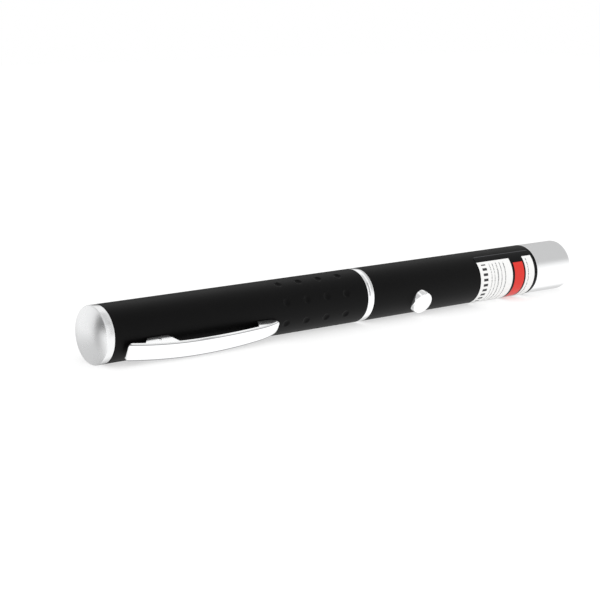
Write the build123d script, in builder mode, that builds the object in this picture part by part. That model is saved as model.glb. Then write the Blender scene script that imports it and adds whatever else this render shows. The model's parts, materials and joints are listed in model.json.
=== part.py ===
from build123d import *

import os
from math import asin, atan2, ceil, cos, degrees, hypot, pi, radians, sin, sqrt

os.makedirs("parts", exist_ok=True)

# Laser pointer pen, in millimetres. The origin is the centre of the beam aperture, in the nose's
# front face. The beam leaves along +X. +Z is up, with the pen at rest on its barrel and its clip.

# Barrels and trim
barrel_radius = 7.0
bezel_length = 14.1
front_barrel_length = 62.3
ring_width = 2.1
cap_side = 2.0
cap_rise = 1.5
edge_break = 0.15
cut_overrun = 1.0
running_clearance = 0.06
tolerance = 0.001
wire_sides = 6

# Two AAA cells, end to end
cell_radius = 5.2
cell_length = 44.5
sleeve_wall = 0.1
sleeve_lip = 0.9
nub_radius = 1.9
nub_length = 0.8
cell_inset = 0.5
holder_to_button = 0.2

# Bores and spigots that join the barrels
battery_bore_radius = 5.5
spigot_wall_share = 0.47
ring_rear_spigot = 6.5
ring_front_spigot_share = 0.5
thread_clearance = 0.05
cap_spigot_wall_share = 0.4
cap_spigot_length = 4.0
spring_room = 2.1
spring_room_radius = 5.0

# Dimpled grip
dimple_radius = 1.05
dimple_depth = 0.35
dimple_reach = 50.5
dimple_pitch = 6.5
dimple_columns = 4
dimple_rows = 8

# Pocket clip: reaches run from its rear end, rises stand above the barrel
clip_inset = 2.8
clip_width = 4.8
clip_tip_width = 3.8
clip_sheet = 0.5
clip_edge_radius = 0.22
clip_corner_radius = 0.6
clip_length = 45.0
clip_rear_rise = 1.3
crown_reach = 19.7
crown_rise = 3.6
shoulder_reach = 38.2
shoulder_rise = 2.45
clip_tip_rise = 0.55
clip_foot_gap = 0.05
clip_lie_gap = 0.35
ear_start = 5.6
ear_end = 11.3
ear_slope = 1.7
pad_start = 36.5
pad_length = 5.4
pad_slope = 1.4

# Clip pivot and its spring
lever_length = 8.4
pin_rise = 1.1
pin_radius = 0.5
pin_inset = 0.1
lug_length = 4.4
lug_head_radius = 0.9
lug_side_gap = 0.1
shank_length = 3.0
shank_width = 1.6
shank_lift = 0.05
clip_spring_reach = 3.0
clip_spring_radius = 0.85
clip_spring_wire = 0.25
clip_spring_turns = 2.25
clip_spring_gap = 0.05
spring_pocket_gap = 0.15
spring_pocket_share = 0.53

# Battery spring
battery_spring_wire = 0.5
battery_spring_base_radius = 4.3
battery_spring_tip_radius = 2.2
battery_spring_turns = 3

# Push button and the switch under it
button_reach = 45.2
button_radius = 3.3
button_rise = 1.4
button_crown = 0.35
button_edge_radius = 0.3
button_flange_lip = 0.6
button_flange_thickness = 0.45
button_travel = 0.5
flange_seat_gap = 0.05
flange_stop_gap = 0.12
switch_size = 6.0
switch_height = 3.2
switch_cover_thickness = 0.3
plunger_radius = 1.7
plunger_rise = 1.5
plunger_depth = 0.8
recess_gap = 0.4
leg_width = 0.7
leg_thickness = 0.3
leg_length = 0.9

# Driver board and its parts
board_thickness = 1.0
board_side_gap = 0.2
board_slot_depth = 1.2
board_slot_clearance = 0.05
holder_length = 2.4
contact_head = 0.5
contact_head_radius = 2.0
contact_shank_radius = 0.9
chip_length = 4.9
chip_width = 3.9
chip_height = 1.4
chip_lift = 0.15
chip_leg_pitch = 1.27
chip_legs_per_side = 4
chip_leg_width = 0.4
chip_leg_length = 1.0
trimmer_size = 3.4
trimmer_height = 1.9
trimmer_screw_radius = 1.1
trimmer_screw_height = 0.25
trimmer_slot_width = 0.35
resistor_length = 2.0
resistor_width = 1.2
resistor_height = 0.5
resistor_count = 3
resistor_pitch = 2.6
capacitor_length = 3.2
capacitor_width = 1.6
capacitor_height = 1.6
side_offset = 3.9
chip_place_share = 0.33
trimmer_place_share = 0.80
resistor_place_share = 0.45

# Laser module
bezel_spigot = 5.0
bezel_bore_radius = 5.4
bezel_face = 1.6
aperture_radius = 1.75
nose_edge_radius = 0.5
housing_flange_length = 24.0
housing_clearance = 0.05
snout_gap = 2.4
lead_pocket_radius = 3.9
lead_pocket_depth = 3.0
diode_flange_radius = 2.8
diode_flange_thickness = 1.2
diode_can_radius = 2.3
diode_can_length = 2.4
diode_window_radius = 1.0
diode_window_depth = 0.2
lead_radius = 0.22
lead_length = 5.4
lead_spacing = 1.8
beam_bore_radius = 2.6
lens_bore_radius = 4.0
lens_bore_length = 11.0
lens_holder_length = 6.0
lens_holder_inset = 0.5
lens_seat_depth = 2.6
lens_radius = 3.0
lens_edge = 0.8
lens_bulge = 0.9
lens_rim = 0.7
lens_spring_wire = 0.45
lens_spring_turns = 3

# Stuck-on label, in degrees round the barrel from the clip's line
label_length = 22.2
label_front_gap = 0.8
label_thickness = 0.08
label_above_deg = 86
label_below_deg = 51
label_corner = 0.8

# Stations along the axis
barrel_front = -bezel_length
shoulder = barrel_front - front_barrel_length
ring_rear = shoulder - ring_width
button_x = barrel_front - button_reach
contact_face = button_x - button_radius - button_flange_lip - holder_to_button - holder_length - contact_head
cells_rear = contact_face - 2 * cell_length
tube_rear = cells_rear - cell_inset
tube_length = ring_rear - tube_rear
clip_rear = tube_rear + clip_inset
housing_front = -bezel_face - snout_gap
housing_step = barrel_front - bezel_spigot
housing_rear = housing_step - housing_flange_length
barrel_wall = barrel_radius - battery_bore_radius
front_bore_radius = battery_bore_radius + spigot_wall_share * barrel_wall
ring_front_spigot = ring_front_spigot_share * (contact_face - shoulder)
spring_pocket_depth = spring_pocket_share * barrel_wall

# The clip's outer face is one arc from its rear end to the crown and another on to the shoulder
crown_height = barrel_radius + crown_rise
rear_drop = crown_rise - clip_rear_rise
rear_arc_radius = (crown_reach**2 + rear_drop**2) / (2 * rear_drop)


def crest_height(reach):
    """Height of the clip's outer face above the axis, behind its crown."""
    return crown_height - rear_arc_radius + sqrt(rear_arc_radius**2 - (crown_reach - reach) ** 2)


def underside_height(reach):
    """Height of the clip's inner face above the axis, behind its crown."""
    slope = asin((crown_reach - reach) / rear_arc_radius)
    return crest_height(reach) - clip_sheet / cos(slope)


# The pen lies on its barrel, rolled until the clip's lower edge is just clear of the surface
edge_height = crown_height - clip_edge_radius
edge_side = clip_width / 2 - clip_edge_radius
edge_drop = barrel_radius - clip_lie_gap - clip_edge_radius
edge_angle = asin(edge_drop / hypot(edge_height, edge_side))
lie_angle = edge_angle - atan2(edge_side, edge_height)
clip_up = Vector(0, -cos(lie_angle), -sin(lie_angle))
across = Vector(0, sin(lie_angle), -cos(lie_angle))
profile = Plane(origin=(0, 0, 0), x_dir=(1, 0, 0), z_dir=across)
upward = Axis((0, 0, 0), clip_up)


def level(height, along=0.0, side=0.0):
    """Plane square to the clip's direction, with its origin at a height above the axis."""
    place = clip_up * height + Vector(along, 0, 0) - across * side
    return Plane(origin=place, x_dir=(1, 0, 0), z_dir=clip_up)


def biarc(start, start_dir, end, end_dir):
    """Two arcs that leave start along start_dir and reach end along end_dir."""
    chord = end - start
    both = start_dir + end_dir
    a = 2 * (start_dir.dot(end_dir) - 1)
    b = -2 * chord.dot(both)
    c = chord.dot(chord)
    reach = (-b - sqrt(b * b - 4 * a * c)) / (2 * a)
    before = start + start_dir * reach
    after = end - end_dir * reach
    joint = (before + after) * 0.5
    TangentArc(start, joint, tangent=start_dir)
    TangentArc(joint, end, tangent=(after - before).normalized())


def coil_path(place, base_radius, tip_radius, rise, turns):
    """Wire line of a coil that climbs along a plane's normal, one biarc to each quarter turn."""
    steps = ceil(4 * turns)
    points = []
    for step in range(steps + 1):
        share = step / steps
        angle = 2 * pi * turns * share
        radius = base_radius + (tip_radius - base_radius) * share
        points.append(Vector(radius * cos(angle), radius * sin(angle), rise * share))
    headings = []
    for step in range(steps + 1):
        share = step / steps
        angle = 2 * pi * turns * share
        radius = base_radius + (tip_radius - base_radius) * share
        shrink = (tip_radius - base_radius) / (2 * pi * turns)
        heading = Vector(
            shrink * cos(angle) - radius * sin(angle),
            shrink * sin(angle) + radius * cos(angle),
            rise / (2 * pi * turns),
        )
        headings.append(heading.normalized())
    with BuildLine() as line:
        for step in range(steps):
            biarc(points[step], headings[step], points[step + 1], headings[step + 1])
    return place.location * line.line


def coil_gap(base_radius, tip_radius, rise, turns, wire):
    """Least clear gap between a coil's neighbouring turns."""
    return hypot(rise / turns, (base_radius - tip_radius) / turns) - wire


def rims_of(piece, radius):
    """A piece's round edges of one radius, from the rear to the front."""
    rims = piece.edges().filter_by(GeomType.CIRCLE).filter_by(lambda rim: rim.is_closed)
    return rims.filter_by(lambda rim: abs(rim.radius - radius) < tolerance).sort_by(Axis.X)


# Rear barrel: the battery tube, with its dimpled grip
dimple_ball_radius = (dimple_radius**2 + dimple_depth**2) / (2 * dimple_depth)
dimple_centre = barrel_radius - dimple_depth + dimple_ball_radius
tube_socket_radius = front_bore_radius + thread_clearance
cap_socket_radius = battery_bore_radius + cap_spigot_wall_share * barrel_wall
pin_x = clip_rear + lever_length
clip_spring_x = clip_rear + clip_spring_reach

with BuildPart() as battery_tube:
    with BuildSketch(Plane.YZ.offset(tube_rear)):
        Circle(barrel_radius)
        Circle(battery_bore_radius, mode=Mode.SUBTRACT)
    extrude(amount=tube_length)
    with BuildSketch(Plane.YZ.offset(tube_rear)):
        Circle(cap_socket_radius)
    extrude(amount=cap_spigot_length, mode=Mode.SUBTRACT)
    with BuildSketch(Plane.YZ.offset(ring_rear)):
        Circle(tube_socket_radius)
    extrude(amount=-ring_rear_spigot - edge_break, mode=Mode.SUBTRACT)
    chamfer(rims_of(battery_tube, barrel_radius), edge_break)
    with BuildSketch(level(battery_bore_radius - cut_overrun, pin_x)):
        Rectangle(shank_length, shank_width)
    extrude(amount=barrel_radius - battery_bore_radius + 2 * cut_overrun, mode=Mode.SUBTRACT)
    with BuildSketch(level(barrel_radius - spring_pocket_depth, clip_spring_x)):
        Circle(clip_spring_radius + clip_spring_wire / 2 + spring_pocket_gap)
    extrude(amount=spring_pocket_depth + cut_overrun, mode=Mode.SUBTRACT)
    for column in range(dimple_columns):
        for row in range(dimple_rows):
            turn = Rot(360 * row / dimple_rows, 0, 0)
            along = tube_rear + dimple_reach + dimple_pitch * column
            with Locations(turn * Location(clip_up * dimple_centre + Vector(along, 0, 0))):
                Sphere(dimple_ball_radius, mode=Mode.SUBTRACT)
battery_tube.part.label = "battery_tube"
export_step(battery_tube.part, "parts/battery_tube.step")

# Rear end cap: a shallow dome on a spigot that the cell passes into
cap_apex = (tube_rear - cap_side - cap_rise, 0)
cap_rim = (tube_rear - cap_side, barrel_radius)

with BuildPart() as rear_end_cap:
    with BuildSketch(profile):
        with BuildLine():
            TangentArc(cap_apex, cap_rim, tangent=(0, 1))
            Polyline(
                cap_rim,
                (tube_rear, barrel_radius),
                (tube_rear, cap_socket_radius),
                (tube_rear + cap_spigot_length, cap_socket_radius),
                (tube_rear + cap_spigot_length, battery_bore_radius),
                (tube_rear, battery_bore_radius),
                (tube_rear, spring_room_radius),
                (tube_rear - spring_room, spring_room_radius),
                (tube_rear - spring_room, 0),
                cap_apex,
            )
        make_face()
    revolve(axis=Axis.X)
    chamfer(rims_of(rear_end_cap, barrel_radius)[0], edge_break)
    chamfer(rims_of(rear_end_cap, barrel_radius)[-1], edge_break)
rear_end_cap.part.label = "rear_end_cap"
export_step(rear_end_cap.part, "parts/rear_end_cap.step")

# Battery spring: a cone of wire between the cap and the rear cell
spring_base = Plane(
    origin=(tube_rear - spring_room + battery_spring_wire / 2, 0, 0), x_dir=clip_up, z_dir=(1, 0, 0)
)
battery_spring_rise = spring_room + cell_inset - battery_spring_wire
battery_spring_line = coil_path(
    spring_base,
    battery_spring_base_radius,
    battery_spring_tip_radius,
    battery_spring_rise,
    battery_spring_turns,
)
with BuildPart() as battery_spring:
    with BuildSketch(Plane(origin=battery_spring_line @ 0, z_dir=battery_spring_line % 0)):
        RegularPolygon(battery_spring_wire / 2, wire_sides)
    sweep(path=battery_spring_line)
battery_spring.part.label = "battery_spring"
export_step(battery_spring.part, "parts/battery_spring.step")

# Cells: a steel can with its nub, in a printed sleeve that turns over both ends
for name, base in (("rear_cell", cells_rear), ("front_cell", cells_rear + cell_length)):
    can_radius = cell_radius - sleeve_wall
    can_length = cell_length - nub_length
    with BuildPart() as cell:
        with BuildSketch(Plane.YZ.offset(base)):
            Circle(can_radius)
        extrude(amount=can_length)
        chamfer(rims_of(cell, can_radius), sleeve_wall)
        with BuildSketch(Plane.YZ.offset(base + can_length)):
            Circle(nub_radius)
        extrude(amount=nub_length)
        chamfer(rims_of(cell, nub_radius)[-1], edge_break)
    cell.part.label = name
    export_step(cell.part, f"parts/{name}.step")
    with BuildPart() as cell_sleeve:
        with BuildSketch(Plane.YZ.offset(base + sleeve_lip)):
            Circle(cell_radius)
            Circle(can_radius, mode=Mode.SUBTRACT)
        extrude(amount=can_length - 2 * sleeve_lip)
    cell_sleeve.part.label = name + "_sleeve"
    export_step(cell_sleeve.part, f"parts/{name}_sleeve.step")

# Coupling ring: a flange that shows between the barrels, with a spigot each way
with BuildPart() as coupling_ring:
    with BuildSketch(Plane.YZ.offset(ring_rear - ring_rear_spigot)):
        Circle(front_bore_radius)
    extrude(amount=ring_rear_spigot + ring_width + ring_front_spigot)
    chamfer(coupling_ring.faces().sort_by(Axis.X)[0].edges(), 2 * edge_break)
    with BuildSketch(Plane.YZ.offset(ring_rear)):
        Circle(barrel_radius)
    extrude(amount=ring_width)
    chamfer(rims_of(coupling_ring, barrel_radius), edge_break)
    with BuildSketch(Plane.YZ.offset(ring_rear - ring_rear_spigot)):
        Circle(battery_bore_radius)
    extrude(amount=ring_rear_spigot + ring_width + ring_front_spigot, mode=Mode.SUBTRACT)
coupling_ring.part.label = "coupling_ring"
export_step(coupling_ring.part, "parts/coupling_ring.step")

# Front barrel, with the button's hole
with BuildPart() as front_barrel:
    with BuildSketch(Plane.YZ.offset(shoulder)):
        Circle(barrel_radius)
        Circle(front_bore_radius, mode=Mode.SUBTRACT)
    extrude(amount=front_barrel_length)
    chamfer(rims_of(front_barrel, barrel_radius), edge_break)
    with BuildSketch(level(0, button_x)):
        Circle(button_radius + running_clearance)
    extrude(amount=barrel_radius + cut_overrun, mode=Mode.SUBTRACT)
front_barrel.part.label = "front_barrel"
export_step(front_barrel.part, "parts/front_barrel.step")

# Nose bezel, closed by a face with the beam aperture
with BuildPart() as nose_bezel:
    with BuildSketch(Plane.YZ.offset(barrel_front)):
        Circle(barrel_radius)
    extrude(amount=bezel_length)
    fillet(nose_bezel.faces().sort_by(Axis.X)[-1].edges(), nose_edge_radius)
    chamfer(nose_bezel.faces().sort_by(Axis.X)[0].edges(), edge_break)
    with BuildSketch(Plane.YZ.offset(housing_step)):
        Circle(front_bore_radius)
    extrude(amount=bezel_spigot)
    with BuildSketch(Plane.YZ.offset(housing_step)):
        Circle(bezel_bore_radius)
    extrude(amount=bezel_spigot + bezel_length - bezel_face, mode=Mode.SUBTRACT)
    with BuildSketch(Plane.YZ.offset(-bezel_face)):
        Circle(aperture_radius)
    extrude(amount=bezel_face, mode=Mode.SUBTRACT)
nose_bezel.part.label = "nose_bezel"
export_step(nose_bezel.part, "parts/nose_bezel.step")

# Pocket clip: an arched strip with ears round the pivot and a boat-shaped tip
shoulder_height = barrel_radius + shoulder_rise
tip_height = barrel_radius + clip_tip_rise
foot_height = barrel_radius + clip_foot_gap
crown_point = (clip_rear + crown_reach, crown_height)
rear_point = (clip_rear, crest_height(0))
shoulder_point = (clip_rear + shoulder_reach, shoulder_height)
tip_point = (clip_rear + clip_length, tip_height)
ear_x = clip_rear + ear_start
ear_far_x = clip_rear + ear_end
pad_x = clip_rear + pad_start
pad_far_x = pad_x + pad_length
pin_height = barrel_radius + pin_rise
ear_outline = (
    (ear_x, foot_height),
    (ear_far_x, foot_height),
    (ear_far_x + ear_slope, shoulder_height),
    (ear_far_x + ear_slope, crown_height),
    (ear_x, crown_height),
)
pad_outline = (
    (pad_x, foot_height),
    (pad_far_x, foot_height),
    (pad_far_x + pad_slope, (foot_height + tip_height) / 2),
    tip_point,
    (tip_point[0], crown_height),
    (pad_x, crown_height),
)


def crest_line(mode=Mode.ADD):
    """The clip's outer face seen from the side: three arcs, drawn into the line in hand."""
    rear = TangentArc(crown_point, rear_point, tangent=(-1, 0), mode=mode)
    crest = TangentArc(crown_point, shoulder_point, tangent=(1, 0), mode=mode)
    tip = TangentArc(shoulder_point, tip_point, tangent=crest % 1, mode=mode)
    return rear, crest, tip


def under(arc, turn):
    """The point one sheet's thickness under an arc's end."""
    heading = arc % 1
    return arc @ 1 - turn * clip_sheet * Vector(-heading.Y, heading.X)


def clip_plan(inset):
    """The clip seen from outside: straight to the crown, then drawn in towards the tip."""
    rear_x = clip_rear + inset
    tip_x = tip_point[0] - inset
    half_width = clip_width / 2 - inset
    half_tip = clip_tip_width / 2 - inset
    with BuildSketch() as plan:
        with BuildLine():
            for side in (1, -1):
                Line((rear_x, side * half_width), (crown_point[0], side * half_width))
                TangentArc(
                    (crown_point[0], side * half_width),
                    (tip_x, side * half_tip),
                    tangent=(1, 0),
                )
            Line((rear_x, half_width), (rear_x, -half_width))
            Line((tip_x, half_tip), (tip_x, -half_tip))
        make_face()
        ends = plan.vertices().group_by(Axis.X)
        fillet(ends[0] + ends[-1], clip_corner_radius - inset)
    return plan.sketch


# Side views: all that lies under the crest, and the room that the bent sheet leaves there.
# That room runs on past both ends, so that the ends come out square to the barrel.
with BuildSketch(profile) as blank_view:
    with BuildLine():
        crest_line()
        Polyline(tip_point, (tip_point[0], 0), (rear_point[0], 0), rear_point)
    make_face()

with BuildSketch(profile) as inside_view:
    with BuildLine():
        rear, crest, tip = crest_line(Mode.PRIVATE)
        crown_under = Vector(crown_point[0], crown_height - clip_sheet)
        rear_arc = TangentArc(crown_under, under(rear, -1), tangent=(-1, 0))
        crest_arc = TangentArc(crown_under, under(crest, 1), tangent=(1, 0))
        tip_arc = TangentArc(crest_arc @ 1, under(tip, 1), tangent=crest_arc % 1)
        rear_end = rear_arc @ 1 + cut_overrun * (rear_arc % 1)
        tip_end = tip_arc @ 1 + cut_overrun * (tip_arc % 1)
        Polyline(
            rear_arc @ 1,
            rear_end,
            (rear_end.X, -cut_overrun),
            (tip_end.X, -cut_overrun),
            tip_end,
            tip_arc @ 1,
        )
    make_face()

with BuildPart() as clip_hollow:
    with BuildSketch(profile):
        add(inside_view.sketch_local)
    extrude(amount=clip_width, both=True)
    with BuildSketch(level(0)):
        add(clip_plan(clip_sheet))
    extrude(amount=2 * crown_height, mode=Mode.INTERSECT)

# The blank is rounded along its outer rim, then trimmed to the sheet with its ears and pad
with BuildPart() as pocket_clip:
    with BuildSketch(profile):
        add(blank_view.sketch_local)
    extrude(amount=clip_width, both=True)
    with BuildSketch(level(foot_height)):
        add(clip_plan(0))
    extrude(amount=crown_height, mode=Mode.INTERSECT)
    outer_faces = pocket_clip.faces().filter_by(lambda face: face.normal_at().dot(clip_up) > 0.5)
    outer_rim = [
        edge
        for edge in outer_faces.edges()
        if sum(edge in face.edges() for face in outer_faces) == 1
    ]
    fillet(outer_rim, clip_edge_radius)
    with BuildSketch(profile):
        add(inside_view.sketch_local)
        Polygon(*ear_outline, align=None, mode=Mode.SUBTRACT)
        Polygon(*pad_outline, align=None, mode=Mode.SUBTRACT)
    extrude(amount=clip_width, both=True, mode=Mode.SUBTRACT)
    add(clip_hollow.part, mode=Mode.SUBTRACT)
    with BuildSketch(profile):
        with Locations((pin_x, pin_height)):
            Circle(pin_radius + running_clearance)
    extrude(amount=clip_width, both=True, mode=Mode.SUBTRACT)
pocket_clip.part.label = "pocket_clip"
export_step(pocket_clip.part, "parts/pocket_clip.step")

# Clip bracket: a lug that saddles the barrel, with a shank riveted through its wall
with BuildPart() as clip_bracket:
    with BuildSketch(profile):
        with Locations((pin_x, pin_height)):
            Circle(lug_head_radius)
        with Locations((pin_x, barrel_radius - pin_rise / 2)):
            Rectangle(lug_length, pin_rise)
        make_hull()
    extrude(amount=clip_width / 2 - clip_sheet - lug_side_gap, both=True)
    with BuildSketch(Plane.YZ.offset(pin_x)):
        Circle(barrel_radius)
    extrude(amount=lug_length, both=True, mode=Mode.SUBTRACT)
    with BuildSketch(level(battery_bore_radius + shank_lift, pin_x)):
        Rectangle(shank_length, shank_width)
    extrude(amount=pin_height - pin_radius - battery_bore_radius - shank_lift)
    with BuildSketch(profile):
        with Locations((pin_x, pin_height)):
            Circle(pin_radius)
    extrude(amount=clip_width, both=True, mode=Mode.SUBTRACT)
clip_bracket.part.label = "clip_bracket"
export_step(clip_bracket.part, "parts/clip_bracket.step")

with BuildPart() as clip_pin:
    with BuildSketch(profile):
        with Locations((pin_x, pin_height)):
            Circle(pin_radius)
    extrude(amount=clip_width / 2 - pin_inset, both=True)
clip_pin.part.label = "clip_pin"
export_step(clip_pin.part, "parts/clip_pin.step")

# Clip spring: it stands in the barrel's pocket and lifts the clip's rear end
pocket_floor = barrel_radius - spring_pocket_depth
clip_spring_top = underside_height(clip_spring_reach - clip_spring_radius - clip_spring_wire / 2)
clip_spring_rise = clip_spring_top - pocket_floor - clip_spring_wire - clip_spring_gap
clip_spring_line = coil_path(
    level(pocket_floor + clip_spring_wire / 2, clip_spring_x),
    clip_spring_radius,
    clip_spring_radius,
    clip_spring_rise,
    clip_spring_turns,
)
with BuildPart() as clip_spring:
    with BuildSketch(Plane(origin=clip_spring_line @ 0, z_dir=clip_spring_line % 0)):
        RegularPolygon(clip_spring_wire / 2, wire_sides)
    sweep(path=clip_spring_line)
clip_spring.part.label = "clip_spring"
export_step(clip_spring.part, "parts/clip_spring.step")

# Push button: a domed cap, kept in by a flange under the barrel wall
flange_radius = button_radius + button_flange_lip
flange_top = sqrt(front_bore_radius**2 - flange_radius**2) - flange_seat_gap
flange_bottom = flange_top - button_flange_thickness
switch_top = flange_bottom - button_travel - flange_stop_gap
board_top = switch_top - switch_height
board_bottom = board_top - board_thickness
recess_radius = plunger_radius + recess_gap
button_top = barrel_radius + button_rise
recess_top = switch_top + plunger_rise

with BuildPart() as button_cap:
    with BuildSketch(profile):
        with BuildLine():
            TangentArc(
                (button_x, button_top),
                (button_x + button_radius, button_top - button_crown),
                tangent=(1, 0),
            )
            Polyline(
                (button_x + button_radius, button_top - button_crown),
                (button_x + button_radius, flange_top),
                (button_x + flange_radius, flange_top),
                (button_x + flange_radius, flange_bottom),
                (button_x + recess_radius, flange_bottom),
                (button_x + recess_radius, recess_top),
                (button_x, recess_top),
                (button_x, button_top),
            )
        make_face()
    revolve(axis=Axis((button_x, 0, 0), clip_up))
    fillet(rims_of(button_cap, button_radius).sort_by(upward)[-1], button_edge_radius)
button_cap.part.label = "button_cap"
export_step(button_cap.part, "parts/button_cap.step")

# Switch: housing with its cavity and legs, a steel cover and the plunger that the button presses
housing_top = switch_top - switch_cover_thickness
cavity_depth = plunger_depth + button_travel + flange_stop_gap

with BuildPart() as switch_housing:
    with BuildSketch(level(board_top, button_x)):
        Rectangle(switch_size, switch_size)
    extrude(amount=switch_height - switch_cover_thickness)
    with BuildSketch(level(board_top, button_x)):
        with GridLocations(switch_size - 2 * leg_width, switch_size + leg_length, 2, 2):
            Rectangle(leg_width, leg_length)
    extrude(amount=leg_thickness)
    with BuildSketch(level(switch_top, button_x)):
        Circle(plunger_radius + running_clearance)
    extrude(amount=-cavity_depth, mode=Mode.SUBTRACT)
switch_housing.part.label = "switch_housing"
export_step(switch_housing.part, "parts/switch_housing.step")

with BuildPart() as switch_cover:
    with BuildSketch(level(housing_top, button_x)):
        Rectangle(switch_size, switch_size)
        Circle(plunger_radius + running_clearance, mode=Mode.SUBTRACT)
    extrude(amount=switch_cover_thickness)
switch_cover.part.label = "switch_cover"
export_step(switch_cover.part, "parts/switch_cover.step")

with BuildPart() as switch_plunger:
    with BuildSketch(level(switch_top - plunger_depth, button_x)):
        Circle(plunger_radius)
    extrude(amount=plunger_depth + plunger_rise)
    chamfer(switch_plunger.faces().sort_by(upward)[-1].edges(), edge_break)
switch_plunger.part.label = "switch_plunger"
export_step(switch_plunger.part, "parts/switch_plunger.step")

# Contact holder: an insulating disc with the positive contact riveted in it
holder_rear = contact_face + contact_head
board_rear = holder_rear + holder_length - board_slot_depth
board_front = housing_rear + board_slot_depth
board_half_height = max(abs(board_top), abs(board_bottom))
board_width = 2 * (sqrt(front_bore_radius**2 - board_half_height**2) - board_side_gap)
board_middle = (board_top + board_bottom) / 2
slot_height = board_thickness + 2 * board_slot_clearance

with BuildPart() as contact_holder:
    with BuildSketch(Plane.YZ.offset(holder_rear)):
        Circle(front_bore_radius - housing_clearance)
        Circle(contact_shank_radius, mode=Mode.SUBTRACT)
    extrude(amount=holder_length)
    with BuildSketch(level(board_middle - slot_height / 2, board_rear + holder_length / 2)):
        Rectangle(holder_length, board_width + 2 * board_slot_clearance)
    extrude(amount=slot_height, mode=Mode.SUBTRACT)
contact_holder.part.label = "contact_holder"
export_step(contact_holder.part, "parts/contact_holder.step")

with BuildPart() as battery_contact:
    with BuildSketch(Plane.YZ.offset(contact_face)):
        Circle(contact_head_radius)
    extrude(amount=contact_head)
    with BuildSketch(Plane.YZ.offset(holder_rear)):
        Circle(contact_shank_radius)
    extrude(amount=holder_length - board_slot_depth)
battery_contact.part.label = "battery_contact"
export_step(battery_contact.part, "parts/battery_contact.step")

# Driver board, from the holder's slot to the laser housing's slot
with BuildPart() as driver_board:
    with BuildSketch(level(board_bottom, (board_rear + board_front) / 2)):
        Rectangle(board_front - board_rear, board_width)
    extrude(amount=board_thickness)
driver_board.part.label = "driver_board"
export_step(driver_board.part, "parts/driver_board.step")

diode_rear = housing_rear + lead_pocket_depth
parts_rear = button_x + switch_size / 2
parts_span = diode_rear - lead_length - parts_rear
chip_x = parts_rear + chip_place_share * parts_span
trimmer_x = parts_rear + trimmer_place_share * parts_span
resistor_x = parts_rear + resistor_place_share * parts_span
leg_row = (chip_width + chip_leg_length) / 2

with BuildPart() as driver_chip:
    with BuildSketch(level(board_top + chip_lift, chip_x)):
        Rectangle(chip_length, chip_width)
    extrude(amount=chip_height)
    with BuildSketch(level(board_top, chip_x)):
        with GridLocations(chip_leg_pitch, 2 * leg_row, chip_legs_per_side, 2):
            Rectangle(chip_leg_width, chip_leg_length)
    extrude(amount=2 * chip_lift)
driver_chip.part.label = "driver_chip"
export_step(driver_chip.part, "parts/driver_chip.step")

with BuildPart() as trimmer:
    with BuildSketch(level(board_top, trimmer_x, side_offset)):
        Rectangle(trimmer_size, trimmer_size)
    extrude(amount=trimmer_height)
    with BuildSketch(level(board_top + trimmer_height, trimmer_x, side_offset)):
        Circle(trimmer_screw_radius)
        Rectangle(2 * trimmer_screw_radius, trimmer_slot_width, mode=Mode.SUBTRACT)
    extrude(amount=trimmer_screw_height)
trimmer.part.label = "trimmer"
export_step(trimmer.part, "parts/trimmer.step")

with BuildPart() as resistors:
    with BuildSketch(level(board_top, resistor_x, -side_offset)):
        with GridLocations(resistor_pitch, 0, resistor_count, 1):
            Rectangle(resistor_length, resistor_width)
    extrude(amount=resistor_height)
resistors.part.label = "resistors"
export_step(resistors.part, "parts/resistors.step")

with BuildPart() as capacitor:
    with BuildSketch(level(board_top, chip_x, side_offset)):
        Rectangle(capacitor_length, capacitor_width)
    extrude(amount=capacitor_height)
capacitor.part.label = "capacitor"
export_step(capacitor.part, "parts/capacitor.step")

# Laser housing: a brass body, stepped down into the bezel, with the diode and the lens on its axis
diode_shoulder = diode_rear + diode_flange_thickness
lens_bore_floor = housing_front - lens_bore_length
flange_outer = front_bore_radius - housing_clearance
snout_outer = bezel_bore_radius - housing_clearance

with BuildPart() as laser_housing:
    with BuildSketch(profile):
        with BuildLine():
            Polyline(
                (housing_rear, flange_outer),
                (housing_step, flange_outer),
                (housing_step, snout_outer),
                (housing_front, snout_outer),
                (housing_front, lens_bore_radius),
                (lens_bore_floor, lens_bore_radius),
                (lens_bore_floor, beam_bore_radius),
                (diode_shoulder, beam_bore_radius),
                (diode_shoulder, diode_flange_radius + housing_clearance),
                (diode_rear, diode_flange_radius + housing_clearance),
                (diode_rear, lead_pocket_radius),
                (housing_rear, lead_pocket_radius),
                close=True,
            )
        make_face()
    revolve(axis=Axis.X)
    with BuildSketch(level(board_middle - slot_height / 2, housing_rear)):
        Rectangle(2 * board_slot_depth, 2 * barrel_radius)
    extrude(amount=slot_height, mode=Mode.SUBTRACT)
laser_housing.part.label = "laser_housing"
export_step(laser_housing.part, "parts/laser_housing.step")

with BuildPart() as laser_diode:
    with BuildSketch(Plane.YZ.offset(diode_rear)):
        Circle(diode_flange_radius)
    extrude(amount=diode_flange_thickness)
    with BuildSketch(Plane.YZ.offset(diode_shoulder)):
        Circle(diode_can_radius)
    extrude(amount=diode_can_length)
    chamfer(rims_of(laser_diode, diode_can_radius)[-1], edge_break)
    with BuildSketch(Plane.YZ.offset(diode_shoulder + diode_can_length)):
        Circle(diode_window_radius)
    extrude(amount=-diode_window_depth, mode=Mode.SUBTRACT)
laser_diode.part.label = "laser_diode"
export_step(laser_diode.part, "parts/laser_diode.step")

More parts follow.
